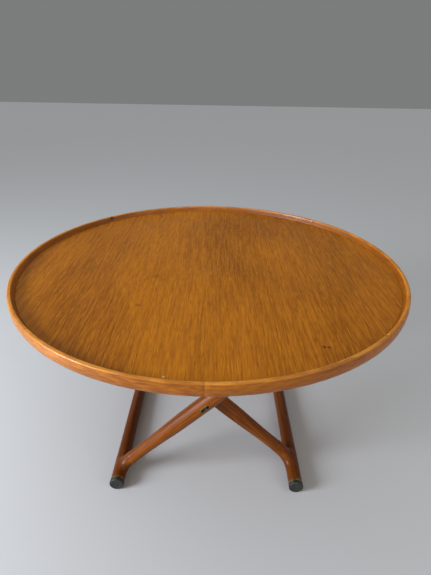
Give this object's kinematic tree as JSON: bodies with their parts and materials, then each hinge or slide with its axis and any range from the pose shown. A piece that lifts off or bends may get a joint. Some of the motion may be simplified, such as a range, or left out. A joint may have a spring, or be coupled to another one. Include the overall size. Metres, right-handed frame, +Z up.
{
  "type": "tilt top table",
  "caption": "Round oak tray-topped low table on a folding cross-legged wooden base with floor rails, whose top also tilts up on brass straps.",
  "frame": {"origin": "on the floor, under the centre of the round top", "axes": "+Z up, +Y to the back along the rails, +X to the right, across the two folding frames"},
  "size_m": [1, 1, 0.5399],
  "materials": {
    "oak_top": "satin varnished oak veneer",
    "oak_rim": "satin varnished solid oak",
    "dark_wood": "satin oiled red-brown hardwood",
    "dowel_wood": "plain beech",
    "brass": "aged satin brass",
    "black_cap": "matt black"
  },
  "bodies": {
    "frame_a": {"floor_rail_left": "dark_wood", "top_rail_right": "dark_wood", "leg_front_outer": "dark_wood", "leg_back_inner": "dark_wood", "leg_dowels_a": "dowel_wood", "floor_ferrules_a": "brass", "floor_caps_a": "black_cap", "top_ferrules_a": "brass", "top_caps_a": "black_cap", "pivot_plate_front": "brass", "plate_screw_front": "brass", "pivot_pin_front": "brass", "pivot_washer_front": "brass", "pivot_nut_front": "brass"},
    "frame_b": {"floor_rail_right": "dark_wood", "top_rail_left": "dark_wood", "leg_back_outer": "dark_wood", "leg_front_inner": "dark_wood", "leg_dowels_b": "dowel_wood", "floor_ferrules_b": "brass", "floor_caps_b": "black_cap", "top_ferrules_b": "brass", "top_caps_b": "black_cap", "pivot_plate_back": "brass", "plate_screw_back": "brass", "pivot_pin_back": "brass", "pivot_washer_back": "brass", "pivot_nut_back": "brass"},
    "top_carrier": {"bearing_sleeves": "brass"},
    "tabletop": {"top_panel": "oak_top", "rim_segment_1": "oak_rim", "rim_segment_2": "oak_rim", "rim_segment_3": "oak_rim", "rim_segment_4": "oak_rim", "rim_segment_5": "oak_rim", "rim_segment_6": "oak_rim", "rim_segment_7": "oak_rim", "rim_segment_8": "oak_rim", "rim_tongues": "dark_wood", "hinge_strap_front": "brass", "hinge_strap_back": "brass", "strap_screws": "brass", "stop_block_front": "dark_wood", "stop_block_back": "dark_wood", "block_screws": "brass"}
  },
  "joints": [
    {"name": "frame_fold", "type": "hinge", "parent": "frame_a", "child": "frame_b", "pos_m": [0, 0, 0.256], "axis": [0, 1, 0], "range_deg": [0, 80]},
    {"name": "top_carry", "type": "hinge", "parent": "frame_a", "child": "top_carrier", "pos_m": [0.237, 0, 0.493], "axis": [0, 1, 0], "range_deg": [0, 40]},
    {"name": "top_tilt", "type": "hinge", "parent": "top_carrier", "child": "tabletop", "pos_m": [0.237, 0, 0.493], "axis": [0, 1, 0], "range_deg": [0, 88]}
  ],
  "couplings": [
    {"joint": "top_carry", "follows": "frame_fold", "ratio": 0.5}
  ]
}
